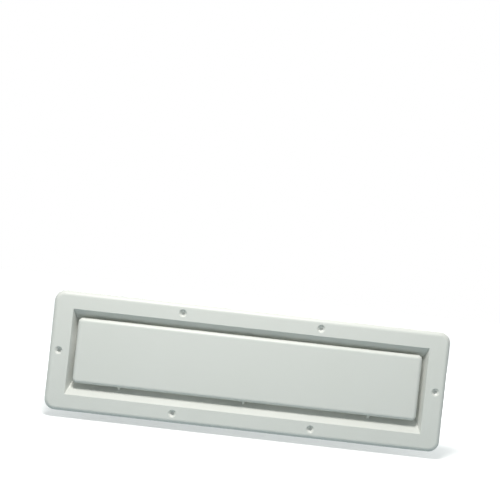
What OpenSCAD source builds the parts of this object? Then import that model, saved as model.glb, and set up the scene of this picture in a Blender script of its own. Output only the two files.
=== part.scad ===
// Dorade vent for a hull side or cockpit coaming, one ABS moulding.
// A flanged mouth with four mitred flares leads into a shallow box with an open top and a floor
// that falls towards the mouth. A front panel stands in the mouth on three ribs, so that air
// passes round its edges and water drops to the floor and drains out below it.
//
// X runs along the vent, Y points inboard, Z is up. The origin is the centre of the screw
// pattern, on the plane where the flange seats on the hull. Depths are measured from the face
// of the flange, inboard.

/* [Flange] */
// Length of the flange
flange_l = 430; // [390:1:600]
// Height of the flange
flange_h = 130; // [124:1:170]
// Radius of the flange's corners, seen from the front
flange_corner_r = 12; // [8:0.5:16]
// Distance from the flange's face to the hull
rim_depth = 5.5; // [5:0.1:7]
// Radius of the rolled front edge of the flange
rim_r = 5; // [3.5:0.1:5]
// Wall thickness of the moulding
wall = 2.8; // [2:0.1:3.2]

/* [Mouth] */
// Length of the mouth at the flange's face
mouth_l = 386.5; // [340:0.5:388]
// Height of the mouth at the flange's face
mouth_h = 93; // [86:0.5:94]
// Depth over which the mouth narrows
flare_depth = 23.5; // [18:0.5:28]
// Distance by which the long walls close in over that depth
flare_rise = 20.5; // [14:0.5:23]
// Distance by which the end walls close in over that depth
flare_in = 7; // [3:0.5:9]

/* [Box] */
// Depth from the flange's face to the outside of the back wall
box_depth = 70.5; // [55:0.5:90]
// Height of the back wall's top edge
back_top_z = 20.5; // [14:0.5:28]
// Height of the back wall's bottom edge
back_bottom_z = -6; // [-16:0.5:2]

/* [Front panel] */
// Length of the panel
panel_l = 374; // [300:1:376]
// Height of the panel
panel_h = 71; // [56:0.5:74]
// Height of the panel's centre above that of the mouth
panel_z = 2; // [0:0.5:3]
// Distance of the panel's face behind the flange's face
panel_recess = 0.5; // [0:0.1:3]
// Radius of the panel's rounded front edge, which is also the depth of its returned edge
panel_edge_r = 4; // [3.3:0.1:5]
// Radius of the panel's corners, seen from the front
panel_corner_r = 5; // [5:0.5:8]

/* [Ribs] */
// Number of ribs that carry the panel
rib_count = 3; // [2:1:5]
// Distance between neighbouring ribs
rib_pitch = 136; // [60:1:140]
// Thickness of a rib
rib_t = 2.5; // [1.8:0.1:4]
// Distance by which a rib's foot stands back from the panel
rib_foot = 8; // [4:0.5:12]

/* [Screw holes] */
// Spacing along X of the four holes in the long sides
long_side_dx = 150; // [80:1:240]
// Distance of every hole from the flange's outer edge
hole_inset = 10.5; // [10:0.1:11]
// Diameter of the holes
hole_d = 4.6; // [3:0.1:5]
// Diameter of the countersinks at the flange's face
sink_d = 8.6; // [6:0.1:9]
// Outer diameter of the bosses behind the flange
boss_d = 9.6; // [9.4:0.1:10]

/* [Hidden] */
$fn = 40;
abs_white = [0.86, 0.87, 0.85];

// Cuts run past the faces they open by this much.
past = 2;

// Y of the flange's face
face_y = -rim_depth;

// Falls of the flared walls for each millimetre of depth
long_slope = flare_rise / flare_depth;
end_slope = flare_in / flare_depth;

// Inside of the mouth at its face and at the end of the flare
mouth_top = mouth_h / 2;
mouth_end = mouth_l / 2;
throat_top = mouth_top - flare_rise;
throat_end = mouth_end - flare_in;

// Thickness of the flared walls, measured along Z and along X
long_wall = wall * sqrt(1 + pow(long_slope, 2));
end_wall = wall * sqrt(1 + pow(end_slope, 2));

// Outside of the box where the flare ends
box_top = throat_top + long_wall;
box_end = throat_end + wall;

// The floor rises from the flare to the back wall.
floor_slope = (back_bottom_z + box_top) / (box_depth - flare_depth);
floor_wall = wall * sqrt(1 + pow(floor_slope, 2));
box_inner_depth = box_depth - wall;

// Heights of the floor's inside at a depth behind the flare, and of the flared bottom wall
function floor_z(depth) = floor_wall - box_top + floor_slope * (depth - flare_depth);
function flare_z(depth) = long_slope * depth - mouth_top;

// Depths of the back of the panel's plate and of the panel's returned edge
plate_back = panel_recess + wall;
panel_back = panel_recess + panel_edge_r;

// Extrudes an outline of [height, depth] points along X.
module run_x(length) {
    rotate([0, -90, 0])
        run_z(length)
            children();
}

// Extrudes an outline of [x, depth] points along Z.
module run_z(length) {
    translate([0, face_y, -length / 2])
        linear_extrude(length)
            children();
}

// Half of the section of a plate with a rounded front edge: width, depth and edge radius
module half_section(width, depth, edge_r) {
    square([width - edge_r, depth]);
    if (depth > edge_r)
        translate([0, edge_r])
            square([width, depth - edge_r]);
    translate([width - edge_r, edge_r])
        intersection() {
            circle(edge_r);
            translate([0, -edge_r])
                square(edge_r);
        }
}

// Whole section of the same plate
module plate_section(width, depth, edge_r) {
    half_section(width / 2, depth, edge_r);
    mirror([1, 0])
        half_section(width / 2, depth, edge_r);
}

// Plate with rounded corners and a rounded front edge, its front at the given depth
module rounded_plate(length, height, front, depth, corner_r, edge_r) {
    run_x(length - 2 * corner_r)
        translate([0, front])
            plate_section(height, depth, edge_r);
    run_z(height - 2 * corner_r)
        translate([0, front])
            plate_section(length, depth, edge_r);
    for (sx = [-1, 1], sz = [-1, 1])
        translate([sx * (length / 2 - corner_r), face_y + front, sz * (height / 2 - corner_r)])
            rotate([-90, 0, 0])
                rotate_extrude()
                    half_section(corner_r, depth, edge_r);
}

// Plate whose edge is returned all round, hollow from behind
module dished_plate(length, height, front, depth, corner_r, edge_r) {
    difference() {
        rounded_plate(length, height, front, depth, corner_r, edge_r);
        rounded_plate(length - 2 * wall, height - 2 * wall, front + wall, depth - wall + past,
                      corner_r - wall, edge_r - wall);
    }
}

// Flares and box as one solid, without its hollow
module body_outside() {
    intersection() {
        run_x(mouth_l + 2 * flange_h)
            polygon([
                [mouth_top + long_wall, 0],
                [box_top, flare_depth],
                [back_top_z, box_depth],
                [back_bottom_z, box_depth],
                [-box_top, flare_depth],
                [-mouth_top - long_wall, 0]
            ]);
        run_z(2 * flange_h)
            polygon([
                [mouth_end + end_wall, 0],
                [box_end, flare_depth],
                [box_end, box_depth],
                [-box_end, box_depth],
                [-box_end, flare_depth],
                [-mouth_end - end_wall, 0]
            ]);
    }
}

// Hollow of the mouth and the box, open to the front and, behind the flare, to the top
module body_inside() {
    intersection() {
        run_x(mouth_l + 2 * flange_h)
            polygon([
                [mouth_top + long_slope * past, -past],
                [throat_top, flare_depth],
                [flange_h / 2, flare_depth],
                [flange_h / 2, box_inner_depth],
                [floor_z(box_inner_depth), box_inner_depth],
                [floor_z(flare_depth), flare_depth],
                [-mouth_top - long_slope * past, -past]
            ]);
        run_z(2 * flange_h)
            polygon([
                [mouth_end + end_slope * past, -past],
                [throat_end, flare_depth],
                [throat_end, box_inner_depth],
                [-throat_end, box_inner_depth],
                [-throat_end, flare_depth],
                [-mouth_end - end_slope * past, -past]
            ]);
    }
}

// Repeats a shape at the six screw holes.
module at_holes() {
    for (sx = [-1, 1]) {
        for (sz = [-1, 1])
            translate([sx * long_side_dx / 2, face_y, sz * (flange_h / 2 - hole_inset)])
                children();
        translate([sx * (flange_l / 2 - hole_inset), face_y, 0])
            children();
    }
}

module screw_boss() {
    rotate([-90, 0, 0])
        translate([0, 0, wall / 2])
            cylinder(d = boss_d, h = rim_depth - wall / 2);
}

module screw_hole() {
    rotate([-90, 0, 0]) {
        translate([0, 0, -past])
            cylinder(d = hole_d, h = rim_depth + 2 * past);
        cylinder(d1 = sink_d, d2 = hole_d, h = (sink_d - hole_d) / 2);
        translate([0, 0, -past])
            cylinder(d = sink_d, h = past);
    }
}

// Flange, flares and box
module shell() {
    difference() {
        union() {
            dished_plate(flange_l, flange_h, 0, rim_depth, flange_corner_r, rim_r);
            body_outside();
            at_holes() screw_boss();
        }
        body_inside();
        at_holes() screw_hole();
    }
}

module front_panel() {
    translate([0, 0, panel_z])
        dished_plate(panel_l, panel_h, panel_recess, panel_edge_r, panel_corner_r, panel_edge_r);
}

// Upright rib from the back of the panel to the floor and the back wall
module rib() {
    root = wall / 2;
    foot_depth = plate_back + rib_foot;
    back = box_depth - root;
    run_x(rib_t)
        polygon([
            [box_top, plate_back - root],
            [box_top, flare_depth],
            [back_top_z, back],
            [floor_z(back) - root, back],
            [floor_z(flare_depth) - root, flare_depth],
            [flare_z(foot_depth) - root, foot_depth],
            [panel_z - panel_h / 2 + wall, plate_back - root]
        ]);
}

module ribs() {
    for (i = [0 : rib_count - 1])
        translate([(i - (rib_count - 1) / 2) * rib_pitch, 0, 0])
            rib();
}

module vent_moulding() {
    color(abs_white) {
        shell();
        front_panel();
        ribs();
    }
}

vent_moulding();
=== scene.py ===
import math

import bpy
from mathutils import Matrix, Vector


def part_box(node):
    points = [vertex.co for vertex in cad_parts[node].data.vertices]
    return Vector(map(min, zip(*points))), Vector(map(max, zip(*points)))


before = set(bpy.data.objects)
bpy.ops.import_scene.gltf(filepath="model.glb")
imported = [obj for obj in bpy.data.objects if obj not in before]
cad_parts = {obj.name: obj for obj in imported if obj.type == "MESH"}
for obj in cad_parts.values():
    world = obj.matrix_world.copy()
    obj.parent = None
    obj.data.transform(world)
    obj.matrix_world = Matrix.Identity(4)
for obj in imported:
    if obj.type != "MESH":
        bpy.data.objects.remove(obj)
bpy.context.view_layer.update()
scene = bpy.context.scene

# Camera: the photograph's place and roll, fitted to the screw holes and the mouth's corners
CAMERA_AT = Vector((0.0062, -1.2, 0.1408))
CAMERA_YAW = math.radians(0.81)
CAMERA_PITCH = math.radians(-0.5)
CAMERA_ROLL = math.radians(6.31)
FOCAL_PIXELS = 1109
IMAGE_PIXELS = 500
SENSOR_MM = 36

# Light
KEY_AT = Vector((-0.1, -0.56, 0.8))
KEY_SIZE = 0.3
KEY_WATTS = 9.2
KEY_COLOR = (1.0, 0.985, 0.96)
# Weak fill from behind, for the views of the back
FILL_AT = Vector((0.3, 0.95, 0.4))
FILL_SIZE = 0.7
FILL_WATTS = 6
FILL_COLOR = (0.97, 1.0, 1.0)
AMBIENT = 0.34
AMBIENT_COLOR = (0.91, 1.0, 1.0, 1)
# How much more ambient light comes from the left, the front and above
AMBIENT_LEAN = Vector((-0.2, 0.0, 0.3))

# Stage
FLOOR_Z = -0.073
FLOOR_HALF = 3.0
# Light added to the floor as the camera sees it, near the vent and far from it
LIFT_NEAR = 0.22
LIFT_FAR = 0.75
LIFT_RADIUS = 0.5
# The floor's share of light thrown back, as the camera and as other rays meet it
FLOOR_SEEN = (0.8, 0.8, 0.8, 1)
FLOOR_BOUNCE = (0.31, 0.37, 0.4, 1)
# Card close behind the flange, which shows only through the screw holes: a sheet put there only so that the
# holes show shade, the flange's shadow falling on it, instead of the white world
CARD_GAP = 0.0005
CARD_MARGIN = 0.003
CARD_WIDTH = 0.014
# The card's own colour is plain white; the grey seen in the holes is the lamps' shade falling on it
CARD_COLOR = (0.8, 0.8, 0.8, 1)

# Moulded ABS
ABS_COLOR = (0.69, 0.695, 0.66, 1)
# The warmer tone that drifts through it, and how large its patches are
ABS_DRIFT_COLOR = (0.67, 0.68, 0.635, 1)
DRIFT_SIZE = 0.06
ROUGHNESS_LOW = 0.38
ROUGHNESS_HIGH = 0.48
SHEEN_PATCH_SIZE = 0.018
# Satin grain of the mould, and the slow waves of a large thin moulding
GRAIN_SIZE = 0.0011
GRAIN_HEIGHT = 0.00001
WAVE_SIZE = 0.045
WAVE_HEIGHT = 0.00012
EDGE_ROUND = 0.0007
# Points closer than this are one point, so that faces share their edges.
WELD_GAP = 0.00001


def make_camera():
    data = bpy.data.cameras.new("camera")
    data.sensor_width = SENSOR_MM
    data.lens = FOCAL_PIXELS / IMAGE_PIXELS * SENSOR_MM
    camera = bpy.data.objects.new("camera", data)
    scene.collection.objects.link(camera)
    turn = (
        Matrix.Rotation(CAMERA_YAW, 4, "Z")
        @ Matrix.Rotation(math.pi / 2 + CAMERA_PITCH, 4, "X")
        @ Matrix.Rotation(CAMERA_ROLL, 4, "Z")
    )
    camera.matrix_world = Matrix.Translation(CAMERA_AT) @ turn
    scene.camera = camera


def make_light(name, place, size, watts, color):
    """Round soft light that faces the vent's middle."""
    data = bpy.data.lights.new(name, "AREA")
    data.shape = "DISK"
    data.size = size
    data.energy = watts
    data.color = color
    light = bpy.data.objects.new(name, data)
    scene.collection.objects.link(light)
    light.location = place
    light.rotation_mode = "QUATERNION"
    light.rotation_quaternion = place.to_track_quat("Z", "Y")


def new_material(name):
    material = bpy.data.materials.new(name)
    material.use_nodes = True
    nodes = material.node_tree.nodes
    nodes.clear()
    return material, nodes, material.node_tree.links


def math_node(nodes, links, operation, first, second):
    """Math node on two sockets, or on a socket and a number."""
    node = nodes.new("ShaderNodeMath")
    node.operation = operation
    for slot, value in enumerate((first, second)):
        if isinstance(value, (int, float)):
            node.inputs[slot].default_value = value
        else:
            links.new(value, node.inputs[slot])
    return node.outputs[0]


def seen_by_eye(nodes, links):
    """1 where the camera or a reflection meets the surface, else 0."""
    ray = nodes.new("ShaderNodeLightPath")
    return math_node(nodes, links, "MAXIMUM", ray.outputs["Is Camera Ray"], ray.outputs["Is Glossy Ray"])


def mix_shaders(nodes, links, share, first, second):
    mix = nodes.new("ShaderNodeMixShader")
    links.new(share, mix.inputs["Fac"])
    links.new(first, mix.inputs[1])
    links.new(second, mix.inputs[2])
    return mix.outputs[0]


def diffuse(nodes, color):
    shader = nodes.new("ShaderNodeBsdfDiffuse")
    shader.inputs["Color"].default_value = color
    return shader.outputs[0]


def make_world():
    """Soft ambient light on the vent, and plain white wherever the eye meets the world."""
    world = bpy.data.worlds.new("studio")
    scene.world = world
    world.use_nodes = True
    nodes = world.node_tree.nodes
    links = world.node_tree.links
    nodes.clear()
    towards = nodes.new("ShaderNodeTexCoord")
    lean = nodes.new("ShaderNodeVectorMath")
    lean.operation = "DOT_PRODUCT"
    lean.inputs[1].default_value = AMBIENT_LEAN
    links.new(towards.outputs["Generated"], lean.inputs[0])
    strength = nodes.new("ShaderNodeMath")
    strength.operation = "MULTIPLY_ADD"
    strength.inputs[1].default_value = AMBIENT
    strength.inputs[2].default_value = AMBIENT
    links.new(lean.outputs["Value"], strength.inputs[0])
    ambient = nodes.new("ShaderNodeBackground")
    ambient.inputs["Color"].default_value = AMBIENT_COLOR
    links.new(strength.outputs[0], ambient.inputs["Strength"])
    white = nodes.new("ShaderNodeBackground")
    white.inputs["Color"].default_value = (1, 1, 1, 1)
    out = nodes.new("ShaderNodeOutputWorld")
    share = seen_by_eye(nodes, links)
    links.new(mix_shaders(nodes, links, share, ambient.outputs[0], white.outputs[0]), out.inputs["Surface"])


def noise(nodes, links, place, size, detail):
    """Noise whose features are about as large as size, in metres."""
    texture = nodes.new("ShaderNodeTexNoise")
    texture.inputs["Scale"].default_value = 1 / size
    texture.inputs["Detail"].default_value = detail
    links.new(place, texture.inputs["Vector"])
    return texture.outputs["Fac"]


def bump(nodes, links, height, distance, under=None):
    node = nodes.new("ShaderNodeBump")
    node.inputs["Distance"].default_value = distance
    links.new(height, node.inputs["Height"])
    if under:
        links.new(under, node.inputs["Normal"])
    return node.outputs["Normal"]


def abs_plastic():
    """Off-white satin ABS: fine mould grain, slow waves, and small drifts of tone and sheen."""
    material, nodes, links = new_material("abs_white")
    out = nodes.new("ShaderNodeOutputMaterial")
    shader = nodes.new("ShaderNodeBsdfPrincipled")
    place = nodes.new("ShaderNodeTexCoord").outputs["Object"]

    tone = nodes.new("ShaderNodeMix")
    tone.data_type = "RGBA"
    tone.inputs["A"].default_value = ABS_COLOR
    tone.inputs["B"].default_value = ABS_DRIFT_COLOR
    links.new(noise(nodes, links, place, DRIFT_SIZE, 3), tone.inputs["Factor"])
    links.new(tone.outputs["Result"], shader.inputs["Base Color"])

    sheen = nodes.new("ShaderNodeMapRange")
    sheen.inputs["To Min"].default_value = ROUGHNESS_LOW
    sheen.inputs["To Max"].default_value = ROUGHNESS_HIGH
    links.new(noise(nodes, links, place, SHEEN_PATCH_SIZE, 4), sheen.inputs["Value"])
    links.new(sheen.outputs["Result"], shader.inputs["Roughness"])

    waves = bump(nodes, links, noise(nodes, links, place, WAVE_SIZE, 1), WAVE_HEIGHT)
    grain = bump(nodes, links, noise(nodes, links, place, GRAIN_SIZE, 2), GRAIN_HEIGHT, waves)
    links.new(grain, shader.inputs["Normal"])
    links.new(shader.outputs[0], out.inputs["Surface"])
    return material


def stage_white():
    """White ground: it takes shadows, and the camera sees it lifted to pure white."""
    material, nodes, links = new_material("stage_white")
    out = nodes.new("ShaderNodeOutputMaterial")
    place = nodes.new("ShaderNodeNewGeometry")
    far = nodes.new("ShaderNodeVectorMath")
    far.operation = "LENGTH"
    links.new(place.outputs["Position"], far.inputs[0])
    lift = nodes.new("ShaderNodeMapRange")
    lift.interpolation_type = "SMOOTHSTEP"
    lift.inputs["From Min"].default_value = LIFT_RADIUS / 3
    lift.inputs["From Max"].default_value = LIFT_RADIUS
    lift.inputs["To Min"].default_value = LIFT_NEAR
    lift.inputs["To Max"].default_value = LIFT_FAR
    links.new(far.outputs["Value"], lift.inputs["Value"])
    glow = nodes.new("ShaderNodeEmission")
    links.new(lift.outputs["Result"], glow.inputs["Strength"])
    lit = nodes.new("ShaderNodeAddShader")
    links.new(diffuse(nodes, FLOOR_SEEN), lit.inputs[0])
    links.new(glow.outputs[0], lit.inputs[1])
    share = seen_by_eye(nodes, links)
    surface = mix_shaders(nodes, links, share, diffuse(nodes, FLOOR_BOUNCE), lit.outputs[0])
    links.new(surface, out.inputs["Surface"])
    return material


def shade_card_material():
    """Card that only the camera meets, and only from the front: it puts shade into the screw holes."""
    material, nodes, links = new_material("shade_card_material")
    out = nodes.new("ShaderNodeOutputMaterial")
    ray = nodes.new("ShaderNodeLightPath")
    side = nodes.new("ShaderNodeNewGeometry")
    front = math_node(nodes, links, "SUBTRACT", 1, side.outputs["Backfacing"])
    share = math_node(nodes, links, "MULTIPLY", front, ray.outputs["Is Camera Ray"])
    clear = nodes.new("ShaderNodeBsdfTransparent").outputs[0]
    links.new(mix_shaders(nodes, links, share, clear, diffuse(nodes, CARD_COLOR)), out.inputs["Surface"])
    return material


def make_stage_piece(name, corners, faces, material):
    mesh = bpy.data.meshes.new(name)
    mesh.from_pydata(corners, [], faces)
    piece = bpy.data.objects.new(name, mesh)
    scene.collection.objects.link(piece)
    piece.data.materials.append(material)


def make_floor():
    half = FLOOR_HALF
    corners = [(-half, -half, FLOOR_Z), (half, -half, FLOOR_Z), (half, half, FLOOR_Z), (-half, half, FLOOR_Z)]
    make_stage_piece("floor", corners, [(0, 1, 2, 3)], stage_white())


def make_hole_shade_card():
    """Flat ring behind the flange, a little smaller than it and open round the box, put there so that the
    screw holes show shade.
    """
    low, high = (Vector(corner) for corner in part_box("vent_moulding"))
    corners = []
    for inset in (CARD_MARGIN, CARD_MARGIN + CARD_WIDTH):
        left, right = low.x + inset, high.x - inset
        bottom, top = low.z + inset, high.z - inset
        corners += [(x, CARD_GAP, z) for x, z in ((left, bottom), (right, bottom), (right, top), (left, top))]
    faces = [(i, (i + 1) % 4, (i + 1) % 4 + 4, i + 4) for i in range(4)]
    make_stage_piece("hole_shade_card", corners, faces, shade_card_material())


def dress_vent():
    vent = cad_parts["vent_moulding"]
    vent.data.materials.clear()
    vent.data.materials.append(abs_plastic())
    weld = vent.modifiers.new("weld", "WELD")
    weld.merge_threshold = WELD_GAP
    flat = vent.modifiers.new("flat", "DECIMATE")
    flat.decimate_type = "DISSOLVE"
    flat.angle_limit = math.radians(0.5)
    bevel = vent.modifiers.new("edges", "BEVEL")
    bevel.width = EDGE_ROUND
    bevel.segments = 3
    bevel.limit_method = "ANGLE"
    bevel.angle_limit = math.radians(30)
    bevel.harden_normals = True
    normals = vent.modifiers.new("normals", "WEIGHTED_NORMAL")
    normals.keep_sharp = True


make_camera()
make_world()
make_light("key", KEY_AT, KEY_SIZE, KEY_WATTS, KEY_COLOR)
make_light("fill", FILL_AT, FILL_SIZE, FILL_WATTS, FILL_COLOR)
dress_vent()
make_floor()
make_hole_shade_card()

scene.view_settings.view_transform = "Standard"
